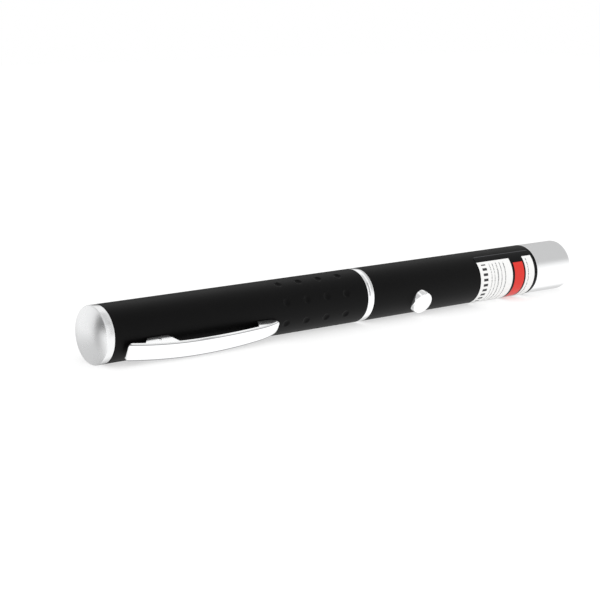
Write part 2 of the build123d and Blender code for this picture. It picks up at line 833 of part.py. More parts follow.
# The leads straddle the board: two on its upper face and one under it
lead_places = (
    (board_top + lead_radius, lead_spacing / 2),
    (board_top + lead_radius, -lead_spacing / 2),
    (board_bottom - lead_radius, 0),
)
with BuildPart() as diode_leads:
    for height, side in lead_places:
        base = clip_up * height - across * side
        with BuildSketch(Plane(origin=base + Vector(diode_rear, 0, 0), z_dir=(-1, 0, 0))):
            Circle(lead_radius)
        extrude(amount=lead_length)
diode_leads.part.label = "diode_leads"
export_step(diode_leads.part, "parts/diode_leads.step")

# Lens, its screwed holder and the spring that steadies the holder
holder_front = housing_front - lens_holder_inset
lens_seat = holder_front - lens_seat_depth
lens_holder_radius = lens_bore_radius - housing_clearance
lens_holder_rear = holder_front - lens_holder_length

with BuildPart() as lens_holder:
    with BuildSketch(Plane.YZ.offset(lens_holder_rear)):
        Circle(lens_holder_radius)
        Circle(lens_radius - lens_rim, mode=Mode.SUBTRACT)
    extrude(amount=lens_holder_length)
    with BuildSketch(Plane.YZ.offset(lens_seat)):
        Circle(lens_radius + housing_clearance)
    extrude(amount=lens_seat_depth, mode=Mode.SUBTRACT)
lens_holder.part.label = "lens_holder"
export_step(lens_holder.part, "parts/lens_holder.step")

with BuildPart() as collimating_lens:
    with BuildSketch(profile):
        with BuildLine():
            TangentArc(
                (lens_seat + lens_edge + lens_bulge, 0),
                (lens_seat + lens_edge, lens_radius),
                tangent=(0, 1),
            )
            Polyline(
                (lens_seat + lens_edge, lens_radius),
                (lens_seat, lens_radius),
                (lens_seat, 0),
                (lens_seat + lens_edge + lens_bulge, 0),
            )
        make_face()
    revolve(axis=Axis.X)
collimating_lens.part.label = "collimating_lens"
export_step(collimating_lens.part, "parts/collimating_lens.step")

lens_coil_radius = lens_holder_radius - lens_spring_wire
lens_spring_rise = lens_holder_rear - lens_bore_floor - lens_spring_wire
lens_spring_line = coil_path(
    Plane(origin=(lens_bore_floor + lens_spring_wire / 2, 0, 0), x_dir=clip_up, z_dir=(1, 0, 0)),
    lens_coil_radius,
    lens_coil_radius,
    lens_spring_rise,
    lens_spring_turns,
)
with BuildPart() as lens_spring:
    with BuildSketch(Plane(origin=lens_spring_line @ 0, z_dir=lens_spring_line % 0)):
        RegularPolygon(lens_spring_wire / 2, wire_sides)
    sweep(path=lens_spring_line)
lens_spring.part.label = "lens_spring"
export_step(lens_spring.part, "parts/lens_spring.step")

# Label: a thin film laid round the front barrel, from its upper edge down to just off the surface
label_front = barrel_front - label_front_gap
upper_side = across.rotate(Axis.X, -label_above_deg)
label_plane = Plane(origin=(0, 0, 0), x_dir=(1, 0, 0), z_dir=upper_side)

with BuildPart() as label_film:
    with BuildSketch(label_plane):
        with Locations((label_front - label_length / 2, barrel_radius + label_thickness / 2)):
            Rectangle(label_length, label_thickness)
    revolve(axis=Axis.X, revolution_arc=label_above_deg + label_below_deg)
    corners = label_film.edges().filter_by(lambda edge: abs(edge.length - label_thickness) < tolerance)
    fillet(corners, label_corner)
label_film.part.label = "label_film"
export_step(label_film.part, "parts/label_film.step")

gaps = (
    coil_gap(
        battery_spring_base_radius,
        battery_spring_tip_radius,
        battery_spring_rise,
        battery_spring_turns,
        battery_spring_wire,
    ),
    coil_gap(0, 0, clip_spring_rise, clip_spring_turns, clip_spring_wire),
    coil_gap(0, 0, lens_spring_rise, lens_spring_turns, lens_spring_wire),
)
print("least gaps between turns", [round(gap, 3) for gap in gaps])
print("lie angle", round(degrees(lie_angle), 3))
print("clip pivot", pin_x, tuple(clip_up * pin_height), "axis", tuple(across))
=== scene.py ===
# %% [markdown]
# # A laser pointer pen on a white table
#
# The pen is two black barrels joined by a bright ring, with a bright nose, a silver button, a
# sprung pocket clip and a satin cap. Its solids come from the CAD model, which is loaded first and
# stays fixed. Each step below then dresses one piece: it says what the piece is on a real pen, how
# it could be made in Blender, and why one way was chosen.

# %% Load the fixed frame
import json
from math import atan2, cos, degrees, hypot, pi, radians, sin, sqrt

import bmesh
import bpy
from mathutils import Matrix, Vector


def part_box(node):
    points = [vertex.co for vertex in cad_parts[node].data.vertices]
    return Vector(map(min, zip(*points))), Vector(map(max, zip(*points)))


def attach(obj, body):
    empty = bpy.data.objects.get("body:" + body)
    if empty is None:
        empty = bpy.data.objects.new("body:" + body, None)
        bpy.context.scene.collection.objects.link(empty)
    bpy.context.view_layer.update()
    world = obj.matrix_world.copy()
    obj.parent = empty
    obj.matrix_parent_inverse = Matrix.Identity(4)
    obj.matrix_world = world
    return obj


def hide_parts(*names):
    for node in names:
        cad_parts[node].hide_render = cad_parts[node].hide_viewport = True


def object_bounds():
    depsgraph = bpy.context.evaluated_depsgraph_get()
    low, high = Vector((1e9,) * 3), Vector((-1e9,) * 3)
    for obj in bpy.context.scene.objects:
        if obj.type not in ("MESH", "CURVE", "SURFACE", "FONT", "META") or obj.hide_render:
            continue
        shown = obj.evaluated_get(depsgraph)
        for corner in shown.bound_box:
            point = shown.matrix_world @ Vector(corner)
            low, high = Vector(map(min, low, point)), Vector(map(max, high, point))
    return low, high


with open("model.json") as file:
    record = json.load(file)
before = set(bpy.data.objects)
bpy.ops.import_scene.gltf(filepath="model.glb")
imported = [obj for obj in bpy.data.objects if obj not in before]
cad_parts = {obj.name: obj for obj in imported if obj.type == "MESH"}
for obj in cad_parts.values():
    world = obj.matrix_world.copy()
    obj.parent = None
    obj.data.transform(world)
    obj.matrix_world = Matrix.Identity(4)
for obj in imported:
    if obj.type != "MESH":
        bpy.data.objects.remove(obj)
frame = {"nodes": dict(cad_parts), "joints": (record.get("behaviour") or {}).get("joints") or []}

cad_box = [list(corner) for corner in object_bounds()]
nodes = frame["nodes"]
print("nodes", len(nodes), "box", [[round(value, 5) for value in corner] for corner in cad_box])

# %% [markdown]
# All lengths below are in millimetres, as on a drawing, and a mesh is scaled to metres once, when
# it is finished. Stations along the pen are read from the solids' boxes, so the dressed pieces
# can't drift from them. One direction comes from a joint: the button moves along the line on which
# the clip also stands.

# %% Stations and the clip's line
mm = 0.001
pen = Vector((1, 0, 0))
joints = {joint["name"]: joint for joint in frame["joints"]}
outward = -Vector(joints["button_press"]["axis"]).normalized()


def ends(node):
    """A node's rear and front stations along the pen."""
    low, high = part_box(node)
    return low.x / mm, high.x / mm


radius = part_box("front_barrel")[1].z / mm
tube_rear, tube_front = ends("battery_tube")
ring_tail, ring_head = ends("coupling_ring")
barrel_rear, barrel_front = ends("front_barrel")
bezel_tail, bezel_head = ends("nose_bezel")
cap_apex, cap_tail = ends("rear_end_cap")
label_rear, label_front = ends("label_film")
print("radius", round(radius, 3), "tube", round(tube_rear, 2), round(tube_front, 2))

# %% [markdown]
# ## Finishes
#
# A finish is a material made only of nodes. Numbers that change over a surface are written here as
# sums in Python: a small class wraps a socket, and each sign adds the Math node that it stands
# for. Drawing the same nodes by hand in the editor would work too, but it is hard to read back.
# Any other node comes from one method, which sets the node's own choices first and its sockets
# second.


# %% A socket that can be used in a sum
class Reading:
    """A number that varies over a surface, used in Python sums."""

    def __init__(self, nodes_of, socket):
        self.nodes_of = nodes_of
        self.socket = socket

    def through(self, operation, *others, swapped=False):
        values = [self, *others]
        if swapped:
            values.reverse()
        return self.nodes_of.add("Math", {"operation": operation}, dict(enumerate(values)))

    def __add__(self, other):
        return self.through("ADD", other)

    def __sub__(self, other):
        return self.through("SUBTRACT", other)

    def __mul__(self, other):
        return self.through("MULTIPLY", other)

    def __truediv__(self, other):
        return self.through("DIVIDE", other)

    def __pow__(self, other):
        return self.through("POWER", other)

    def __neg__(self):
        return self.through("MULTIPLY", -1.0)

    def __rsub__(self, other):
        return self.through("SUBTRACT", other, swapped=True)

    __radd__ = __add__
    __rmul__ = __mul__

    def over(self, limit):
        return self.through("GREATER_THAN", limit)

    def under(self, limit):
        return self.through("LESS_THAN", limit)

    def most(self, other):
        return self.through("MAXIMUM", other)

    def between(self, low, high):
        return self.over(low) * self.under(high)

    def rises(self, low, high):
        """0 below low, 1 above high and smooth between them."""
        settings = {"interpolation_type": "SMOOTHSTEP"}
        return self.nodes_of.add("MapRange", settings, {0: self, 1: low, 2: high})

    def falls(self, low, high):
        """1 below low, 0 above high and smooth between them."""
        return 1 - self.rises(low, high)

    def sine(self):
        return self.through("SINE")


# %% The nodes of one finish
class Finish:
    """A material under construction, with its main shader."""

    def __init__(self, name, colour, rough, metal=0.0, **constants):
        self.material = bpy.data.materials.new(name)
        self.material.use_nodes = True
        self.tree = self.material.node_tree
        self.shader = self.tree.nodes["Principled BSDF"]
        self.shader.inputs["Base Color"].default_value = (*colour, 1)
        self.shader.inputs["Roughness"].default_value = rough
        self.shader.inputs["Metallic"].default_value = metal
        for words, value in constants.items():
            self.shader.inputs[words.replace("_", " ")].default_value = value

    def feed(self, socket, value):
        if isinstance(value, Reading):
            value = value.socket
        if isinstance(value, bpy.types.NodeSocket):
            self.tree.links.new(value, socket)
        elif socket.type == "RGBA" and len(value) == 3:
            socket.default_value = (*value, 1)
        else:
            socket.default_value = value

    def add(self, kind, settings=None, sockets=None, out=0):
        """Adds a node of a kind, with its settings and then its sockets; returns one output."""
        node = self.tree.nodes.new("ShaderNode" + kind)
        for word, value in (settings or {}).items():
            setattr(node, word, value)
        for place, value in (sockets or {}).items():
            self.feed(node.inputs[place], value)
        return Reading(self, node.outputs[out])

    def place(self):
        """Where a point of the surface is, in metres."""
        return self.add("TexCoord", out="Object")

    def parts(self):
        """The three numbers of that place, in millimetres."""
        split = self.add("SeparateXYZ", {}, {0: self.place()})
        sockets = split.socket.node.outputs
        return [Reading(self, socket) * (1 / mm) for socket in sockets]

    def grain(self, size, detail):
        """Noise whose blobs are about a size in millimetres."""
        sockets = {"Vector": self.place(), "Scale": 1 / (size * mm), "Detail": detail}
        return self.add("TexNoise", {}, sockets)

    def mix(self, share, first, second):
        """A colour between two colours."""
        settings = {"data_type": "RGBA"}
        return self.add("Mix", settings, {0: share, 6: first, 7: second}, out=2)

    def set(self, name, value):
        self.feed(self.shader.inputs[name], value)

    def bump(self, height, depth, strength):
        """Height in shares of a depth in millimetres."""
        sockets = {"Height": height, "Distance": depth * mm, "Strength": strength}
        self.set("Normal", self.add("Bump", {}, sockets))


print("finishes are made of nodes only")

# %% [markdown]
# ### Black barrels
#
# The two barrels are aluminium with a satin black coat. From a step away they look like one even
# black, but the coat has a fine grain and wears a little smoother where it is held. A plain black
# shader would look like a hole in the picture. The grain is a very fine bump, and the gloss is
# low, so that the barrel shows soft reflections of the room and a light edge where it turns away.

# %% Black coat
coat = Finish("black coat", (0.002, 0.002, 0.0022), 0.44, Specular_IOR_Level=0.085)
wear = coat.grain(9.0, 3.0)
speckle = coat.grain(0.12, 1.0)
coat.set("Roughness", 0.40 + wear * 0.08 + speckle * 0.04)
coat.set("Base Color", coat.mix(wear, (0.0014, 0.0014, 0.0015), (0.0026, 0.0026, 0.0027)))
coat.bump(speckle, 0.006, 0.5)
black_coat = coat.material
print(black_coat.name)

# %% [markdown]
# ### Bright trim and the satin cap
#
# The nose, ring, clip and button are chrome plated, and the cap is turned and then dulled to a
# satin silver. Bright metal is all reflection: its own colour hardly shows. What makes it look
# real is that the polish isn't perfect, so a soft haze of finger marks varies its roughness. The
# cap gets rings round its centre, as the lathe leaves them, in a very shallow bump.

# %% Chrome, satin silver and the plain metals
plating = (0.93, 0.935, 0.94)
chrome = Finish("bright chrome", plating, 0.09, 1.0)
haze = chrome.grain(6.0, 4.0)
hair = chrome.grain(0.25, 2.0)
chrome.set("Roughness", 0.07 + haze * 0.06 + hair * 0.02)
chrome.bump(hair, 0.0015, 0.3)
bright_chrome = chrome.material

satin = Finish("satin silver", (0.83, 0.835, 0.84), 0.3, 1.0)
along, side, height = satin.parts()
from_axis = (side * side + height * height) ** 0.5
ring_pitch = 0.16
rings = (from_axis * (2 * pi / ring_pitch)).sine()
cloud = satin.grain(2.5, 3.0)
satin.set("Roughness", 0.24 + cloud * 0.08)
satin.bump(rings * 0.5 + satin.grain(0.1, 1.0), 0.0016, 0.4)
satin_silver = satin.material


def plain_metal(name, colour, rough, size=1.2):
    """A metal of one colour whose roughness and tint drift a little."""
    finish = Finish(name, colour, rough, 1.0)
    drift = finish.grain(size, 3.0)
    darker = tuple(share * 0.86 for share in colour)
    finish.set("Base Color", finish.mix(drift, darker, colour))
    finish.set("Roughness", rough + drift * 0.12 - 0.06)
    finish.bump(finish.grain(0.08, 1.0), 0.002, 0.3)
    return finish.material


spring_steel = plain_metal("spring steel", (0.56, 0.56, 0.57), 0.26)
cell_steel = plain_metal("nickelled cell steel", (0.68, 0.68, 0.69), 0.22)
brass = plain_metal("brass", (0.75, 0.55, 0.24), 0.27)
gold_plate = plain_metal("gold plate", (0.92, 0.68, 0.30), 0.2)
print(bright_chrome.name, satin_silver.name)

# %% [markdown]
# ### Inner parts
#
# Inside are moulded plastics, a green circuit board, two cells in printed sleeves and a glass
# lens. They are seen only when the pen is taken apart, but each still has its own finish. The
# board gets copper tracks under its lacquer: straight bands at a regular pitch, raised a little,
# as etched tracks are. Each cell's sleeve is dark, with one plain bright band.


# %% Plastics, board, sleeves and lens
def moulded(name, colour, rough, size=0.2):
    """A moulded plastic with a fine spark-eroded skin."""
    finish = Finish(name, colour, rough, Specular_IOR_Level=0.5)
    skin = finish.grain(size, 2.0)
    lighter = tuple(min(1.0, share * 1.25 + 0.004) for share in colour)
    finish.set("Base Color", finish.mix(skin, colour, lighter))
    finish.set("Roughness", rough + skin * 0.1 - 0.05)
    finish.bump(skin, 0.006, 0.4)
    return finish.material


black_plastic = moulded("black plastic", (0.012, 0.012, 0.013), 0.42)
insulator = moulded("insulator", (0.62, 0.60, 0.52), 0.48)
trimmer_blue = moulded("trimmer blue", (0.03, 0.12, 0.42), 0.36)
ceramic = moulded("ceramic", (0.48, 0.33, 0.17), 0.5)

lacquer = Finish("board lacquer", (0.01, 0.12, 0.05), 0.3)
along, side, height = lacquer.parts()
track_pitch, cross_pitch = 1.6, 2.3
lane = (along * (2 * pi / track_pitch)).sine().over(0.35)
cross_lane = (height * (2 * pi / cross_pitch)).sine().over(0.86)
track = lane.most(cross_lane)
lacquer.set("Base Color", lacquer.mix(track, (0.008, 0.10, 0.045), (0.02, 0.22, 0.09)))
lacquer.bump(track, 0.03, 0.5)
board_green = lacquer.material

sleeve = Finish("cell sleeve", (0.05, 0.06, 0.08), 0.28, Coat_Weight=0.4)
along, side, height = sleeve.parts()
cell_long = 44.5
behind_pen = 200.0
span = (along + behind_pen) / cell_long
band = (span - span.through("FLOOR")).between(0.55, 0.72)
sleeve.set("Base Color", sleeve.mix(band, (0.035, 0.045, 0.065), (0.55, 0.56, 0.58)))
sleeve.set("Metallic", band * 0.8)
sleeve.bump(sleeve.grain(1.5, 2.0), 0.01, 0.3)
cell_sleeve = sleeve.material

glass = Finish("lens glass", (0.98, 0.99, 0.985), 0.02, Transmission_Weight=1.0, IOR=1.5)
glass.set("Roughness", 0.01 + glass.grain(2.0, 2.0) * 0.02)
lens_glass = glass.material
print(board_green.name, cell_sleeve.name, lens_glass.name)

# %% [markdown]
# ### Label
#
# A printed film is stuck on the front barrel, ahead of the button. It is gloss black at its upper
# margin, with a white field for print. A lighter grey line along its top edge is a painted
# highlight, where the film's edge would catch the light. The print here is plain: a row of short
# bars stands at the rear, fine grey lines run round the barrel, and a black band with a red one in
# it stands near the front. The pattern is worked out from the place on the barrel: the distance
# along it, and the angle round it. An image could be wrapped round the film instead, but sums stay
# sharp at any size. Noise breaks the fine lines up a little, as a coarse print does.

# %% Label print
label_paper = (0.9, 0.9, 0.89)
label_ink = (0.003, 0.003, 0.0035)
label_red = (0.72, 0.045, 0.035)
label_grey = (0.22, 0.22, 0.225)
label_dark = (0.05, 0.05, 0.052)
# The next grey is a painted highlight: a lighter line along the film's top edge, where it would
# catch the light.
edge_highlight_grey = (0.075, 0.075, 0.08)
film = Finish("label film", label_ink, 0.2, Specular_IOR_Level=0.1)
along, side, height = film.parts()
outward_angle = degrees(atan2(outward.z, outward.y)) % 360
angle = height.through("ARCTAN2", side) * (180 / pi)
turn = angle + angle.under(0) * 360
above_clip = outward_angle - turn
reach = along - label_rear
field_top, print_top, red_top, film_top = 69.5, 63, 57, 84.4
white_field = reach.between(0.0, 21.6) * above_clip.under(field_top)
bar_pitch = 12
bars = (above_clip * (2 * pi / bar_pitch)).sine().over(0.0) * reach.between(1.2, 2.9)
broken = film.grain(0.25, 1.0).rises(0.4, 0.52)
thin = None
lines = [(4.2, 0.3), (5.4, 0.3), (6.7, 0.45), (8.2, 0.3), (9.6, 0.4), (18.9, 0.35)]
for start, width in lines:
    ruled = reach.between(start, start + width)
    thin = ruled if thin is None else thin + ruled
print_area = above_clip.under(print_top)
black_band = reach.between(12.7, 18.0)
red_band = reach.between(13.6, 17.4) * above_clip.under(red_top)
# Painted highlight: a band along the film's top edge, lighter than its black, where the edge would
# catch the light.
painted_edge_highlight = above_clip.over(film_top)
colour = film.mix(white_field, label_ink, label_paper)
colour = film.mix(thin * broken * print_area, colour, label_grey)
colour = film.mix(bars * print_area, colour, label_dark)
colour = film.mix(black_band, colour, label_ink)
colour = film.mix(red_band, colour, label_red)
colour = film.mix(painted_edge_highlight, colour, edge_highlight_grey)
film.set("Base Color", colour)
film.set("Roughness", 0.14 + film.grain(3.0, 2.0) * 0.06)
film.bump(film.grain(1.2, 2.0), 0.006, 0.3)
label = film.material
print("label outward angle", round(outward_angle, 2))

# %% [markdown]
# ## Turned pieces
#
# Barrels, nose, ring, cap and button are all turned on a lathe, and so is their mesh: an outline
# is drawn in the plane through the axis, its long edges are cut up where detail needs it, and the
# spin operator carries it round. The CAD solids could be shown as they are, but they have about
# fifty flats round the barrel, which bright metal would show. A spin of a few hundred steps is
# smooth, and it can carry dimples and holes that the finish then lights correctly. Small rounded
# edges catch the light next to long faces, so each piece also gets weighted normals, which keep
# the long faces flat.


# %% The lathe and the finishing bench
weld = 0.0005
same_place = 0.001
cut_weld = 0.0002


def everything(work):
    """All that a mesh holds so far."""
    return work.verts[:] + work.edges[:] + work.faces[:]


def rounded(work, geom, amount, segments, affect="EDGES", clamp=False):
    """Rounds edges or corners by an amount."""
    bmesh.ops.bevel(
        work,
        geom=geom,
        offset=amount,
        segments=segments,
        profile=0.5,
        affect=affect,
        clamp_overlap=clamp,
        material=-1,
    )


def spun(work, steps, turns=1, advance=0.0, merge=True):
    """Carries a mesh round the pen, and along it by an advance at each step."""
    bmesh.ops.spin(
        work,
        geom=everything(work),
        cent=(0, 0, 0),
        axis=pen,
        dvec=(advance, 0, 0),
        angle=2 * pi * turns,
        steps=steps,
        use_merge=merge,
    )
    bmesh.ops.remove_doubles(work, verts=work.verts, dist=weld)


def on_rim(edge, along, out):
    """Whether an edge is part of the circle at a station and a distance from the axis."""
    return all(
        abs(end.co.x - along) < same_place
        and abs(hypot(end.co.y, end.co.z) - out) < same_place
        for end in edge.verts
    )


def turned(outline, steps, closed=True, cuts=None, rounds=()):
    """Spins an outline of (along, out) points. Cuts divide an edge, rounds ease a rim."""
    work = bmesh.new()
    points = [work.verts.new((along, 0, out)) for along, out in outline]
    pairs = list(zip(points, points[1:] + points[:1] if closed else points[1:]))
    edges = [work.edges.new(pair) for pair in pairs]
    for place, count in (cuts or {}).items():
        bmesh.ops.subdivide_edges(work, edges=[edges[place]], cuts=count)
    spun(work, steps)
    for along, out, amount in rounds:
        rim = [edge for edge in work.edges if on_rim(edge, along, out)]
        rounded(work, rim, amount, segments=4)
    bmesh.ops.recalc_face_normals(work, faces=work.faces)
    return work


def mesh_of(name, work):
    """A mesh in hand becomes mesh data."""
    mesh = bpy.data.meshes.new(name)
    work.to_mesh(mesh)
    work.free()
    return mesh


def placed(name, data):
    """Mesh, camera or lamp data becomes an object of the scene."""
    item = bpy.data.objects.new(name, data)
    bpy.context.scene.collection.objects.link(item)
    return item


def finished(name, work, body, material, stands_for=(), crease=35):
    """A mesh in millimetres becomes a smooth piece in metres, with its finish, on its body."""
    bmesh.ops.scale(work, vec=(mm, mm, mm), verts=work.verts)
    piece = placed(name, mesh_of(name, work))
    piece.data.shade_smooth()
    piece.data.set_sharp_from_angle(angle=radians(crease))
    piece.data.materials.append(material)
    shading = piece.modifiers.new("long faces stay flat", "WEIGHTED_NORMAL")
    shading.weight = 100
    shading.keep_sharp = True
    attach(piece, body)
    if stands_for:
        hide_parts(*stands_for)
    print(piece.name, len(piece.data.polygons), "faces")
    return piece


def cut_away(work, *cutters):
    """Takes cutters out of a mesh with Blender's exact Boolean; all are in millimetres."""
    holder = placed("work in hand", mesh_of("work in hand", work))
    helpers = [placed("cutter", mesh_of("cutter", cutter)) for cutter in cutters]
    for helper in helpers:
        modifier = holder.modifiers.new("cut", "BOOLEAN")
        modifier.operation = "DIFFERENCE"
        modifier.solver = "EXACT"
        modifier.object = helper
    bpy.context.view_layer.update()
    depsgraph = bpy.context.evaluated_depsgraph_get()
    left = bmesh.new()
    left.from_mesh(holder.evaluated_get(depsgraph).data)
    for done in [holder, *helpers]:
        spent = done.data
        bpy.data.objects.remove(done)
        bpy.data.meshes.remove(spent)
    bmesh.ops.remove_doubles(left, verts=left.verts, dist=cut_weld)
    return left


def set_on(frame_of, work):
    """Moves a mesh from a piece's own directions to the pen's."""
    bmesh.ops.transform(work, matrix=frame_of, verts=work.verts)
    return work


def stood(station, height=0.0):
    """A place on the clip's line: its z points away from the pen's axis, its x along the pen."""
    turn = Matrix((pen, outward.cross(pen), outward)).transposed().to_4x4()
    return Matrix.Translation(pen * station + outward * height) @ turn


def post(out, low, high, steps=96):
    """A plain round post between two heights."""
    work = bmesh.new()
    bmesh.ops.create_cone(
        work,
        cap_ends=True,
        segments=steps,
        radius1=out,
        radius2=out,
        depth=high - low,
    )
    bmesh.ops.translate(work, vec=(0, 0, (high + low) / 2), verts=work.verts)
    return work


def arc_points(apex, rim, out, count):
    """An outline's points on the arc from an apex on the axis to a rim at a distance out."""
    ball = (out**2 + (rim - apex) ** 2) / (2 * abs(rim - apex))
    ahead = 1 if rim > apex else -1
    turn = atan2(out, ball - abs(rim - apex))
    shares = [turn * place / count for place in range(count + 1)]
    return [(apex + ahead * (ball - ball * cos(share)), ball * sin(share)) for share in shares]


print("lathe ready")

# %% [markdown]
# ### Battery tube
#
# The rear barrel is a tube with a grip of round dimples, pressed in four columns of eight. They
# could be cut out with spheres, but thirty-two Booleans on a smooth barrel leave long thin faces
# that catch the light badly. Here the tube is spun in fine steps, its grip is cut up finely along
# its length, and each point that lies inside a dimple's ball is moved down to the ball's surface.
# The slot for the clip's bracket and the pocket for its spring are hidden by the clip, so they are
# plain Booleans.

# %% Battery tube with its dimples
battery_bore = 5.5
socket_bore = 6.255
cap_socket = 6.1
socket_depth = 6.65
cap_depth = 4.0
edge_break = 0.15
dimple_out = 1.05
dimple_deep = 0.35
dimple_first = tube_rear + 50.5
dimple_pitch = 6.5
dimple_columns = 4
dimple_rows = 8
grip_margin = 1.4
grip_rear = dimple_first - grip_margin
grip_front = dimple_first + dimple_pitch * (dimple_columns - 1) + grip_margin
grip_cuts = 147
barrel_steps = 288
skin = 0.01
bracket_station = tube_rear + 11.2
bracket_slot = (3.0, 1.6, 4.0)
slot_sunk = 0.8
pocket_station = tube_rear + 5.8
pocket_out = 1.125
pocket_deep = 0.795
overrun = 1
ball = (dimple_out**2 + dimple_deep**2) / (2 * dimple_deep)
ball_centre = radius - dimple_deep + ball

tube = turned(
    [
        (tube_rear, radius),
        (grip_rear, radius),
        (grip_front, radius),
        (tube_front, radius),
        (tube_front, socket_bore),
        (tube_front - socket_depth, socket_bore),
        (tube_front - socket_depth, battery_bore),
        (tube_rear + cap_depth, battery_bore),
        (tube_rear + cap_depth, cap_socket),
        (tube_rear, cap_socket),
    ],
    steps=barrel_steps,
    cuts={1: grip_cuts},
    rounds=[(tube_rear, radius, edge_break), (tube_front, radius, edge_break)],
)
outward_turn = atan2(outward.z, outward.y)
row_step = 2 * pi / dimple_rows
for point in tube.verts:
    out = hypot(point.co.y, point.co.z)
    if out < radius - skin or not grip_rear < point.co.x < grip_front:
        continue
    column = round((point.co.x - dimple_first) / dimple_pitch)
    off_along = point.co.x - dimple_first - column * dimple_pitch
    turn_now = atan2(point.co.z, point.co.y) - outward_turn
    off_turn = turn_now - row_step * round(turn_now / row_step)
    room = ball**2 - off_along**2 - (ball_centre * sin(off_turn)) ** 2
    if room > 0:
        sunk = min(radius, ball_centre * cos(off_turn) - sqrt(room))
        point.co.y *= sunk / out
        point.co.z *= sunk / out

slot = bmesh.new()
bmesh.ops.create_cube(slot, size=1)
bmesh.ops.scale(slot, vec=bracket_slot, verts=slot.verts)
pocket = post(pocket_out, radius - pocket_deep, radius + overrun)
tube = cut_away(
    tube,
    set_on(stood(bracket_station, radius - slot_sunk), slot),
    set_on(stood(pocket_station), pocket),
)
barrel_crease = 28
finished(
    "dimpled_tube",
    tube,
    "rear_barrel",
    black_coat,
    ["battery_tube"],
    crease=barrel_crease,
)

# %% [markdown]
# ### Front barrel and nose
#
# The front barrel is a plain tube with one round hole, for the button. The hole is a Boolean on
# the spun tube, which is divided finely near the hole, so that the cut leaves only small faces
# round it. The nose closes the front: a bright cap with a rounded edge, a round beam window and a
# spigot that goes into the barrel.

# %% Front barrel
front_bore = 6.205
button_station = (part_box("button_cap")[0].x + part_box("button_cap")[1].x) / 2 / mm
button_out = 3.3
hole_out = 3.36
hole_zone = 4.2
hole_cuts = 55
hole_floor = 1.0
barrel = turned(
    [
        (barrel_rear, radius),
        (button_station - hole_zone, radius),
        (button_station + hole_zone, radius),
        (barrel_front, radius),
        (barrel_front, front_bore),
        (barrel_rear, front_bore),
    ],
    steps=barrel_steps,
    cuts={1: hole_cuts},
    rounds=[(barrel_rear, radius, edge_break), (barrel_front, radius, edge_break)],
)
hole = post(hole_out, hole_floor, radius + overrun)
barrel = cut_away(barrel, set_on(stood(button_station), hole))
finished(
    "black_front_barrel",
    barrel,
    "front",
    black_coat,
    ["front_barrel"],
    crease=barrel_crease,
)

# %% Nose bezel
bezel_bore = 5.4
window = 1.75
window_wall = 1.6
nose_round = 0.5
fine_round = 0.2
bezel_edge = 0.1
metal_steps = 256
bezel = turned(
    [
        (barrel_front, radius),
        (bezel_head, radius),
        (bezel_head, window),
        (bezel_head - window_wall, window),
        (bezel_head - window_wall, bezel_bore),
        (bezel_tail, bezel_bore),
        (bezel_tail, front_bore),
        (barrel_front, front_bore),
    ],
    steps=metal_steps,
    rounds=[
        (bezel_head, radius, nose_round),
        (barrel_front, radius, bezel_edge),
        (bezel_head, window, fine_round),
        (bezel_tail, front_bore, fine_round),
    ],
)
finished("bright_nose", bezel, "front", bright_chrome, ["nose_bezel"])

# %% [markdown]
# ### Coupling ring
#
# The bright ring between the barrels is the head of a threaded spigot. Unscrewed, the tube
# uncovers the thread. The thread is a real helix: one tooth is drawn, and the spin operator
# carries it round while it moves along by a pitch each turn. Rings set side by side would look
# alike from far away, but they wouldn't lead anywhere when the tube turns.

# %% Coupling ring with its thread
pitch = 0.75
thread_turns = 6
thread_root = 5.93
ring = turned(
    [
        (ring_tail, thread_root),
        (tube_front, thread_root),
        (tube_front, radius),
        (barrel_rear, radius),
        (barrel_rear, front_bore),
        (ring_head, front_bore),
        (ring_head, battery_bore),
        (ring_tail, battery_bore),
    ],
    steps=metal_steps,
    rounds=[(tube_front, radius, edge_break), (barrel_rear, radius, edge_break)],
)
finished("bright_ring", ring, "front", bright_chrome, ["coupling_ring"])

tooth_start = ring_tail + 0.5
tooth_foot, tooth_top = 0.28, 0.06
tooth_low, tooth_high = thread_root - 0.03, front_bore - 0.02
profile = [(-tooth_foot, tooth_low), (-tooth_top, tooth_high)]
profile += [(tooth_top, tooth_high), (tooth_foot, tooth_low)]
tooth = bmesh.new()
tooth.faces.new([tooth.verts.new((tooth_start + along, 0, out)) for along, out in profile])
steps_round = 64
spun(tooth, steps_round * thread_turns, thread_turns, pitch / steps_round, merge=False)
bmesh.ops.recalc_face_normals(tooth, faces=tooth.faces)
finished("ring_thread", tooth, "front", bright_chrome)

# %% [markdown]
# ### End cap
#
# The cap is a shallow dome, turned and satin finished, with a short bright rim. Its outline is one
# arc from the rim to the centre, so the dome is a piece of a ball. A scaled ball would give a dome
# too, but its rise would have to be set by eye. Here the arc's points follow from the dome's width
# and rise, and the lathe carries the whole outline round the pen.

# %% End cap
dome_rim = tube_rear - 2.0
dome_edge = 0.22
dome_steps = 24
spring_room = 5.0
spring_floor = tube_rear - 2.1
cap = turned(
    arc_points(cap_apex, dome_rim, radius, dome_steps)
    + [
        (tube_rear, radius),
        (tube_rear, cap_socket),
        (cap_tail, cap_socket),
        (cap_tail, battery_bore),
        (tube_rear, battery_bore),
        (tube_rear, spring_room),
        (spring_floor, spring_room),
        (spring_floor, 0),
    ],
    steps=metal_steps,
    closed=False,
    rounds=[(dome_rim, radius, dome_edge), (tube_rear, radius, edge_break)],
)
finished("satin_cap", cap, "rear_barrel", satin_silver, ["rear_end_cap"])

# %% [markdown]
# ### Push button
#
# The button is a low silver dome that stands in its hole. A hidden flange keeps it there, and a
# recess from below takes the switch's plunger. It is turned about its own axis, the clip's line,
# so its outline is spun about the pen's direction as the other pieces are and then stood up. Its
# top edge is eased, which gives the bright ring round it.

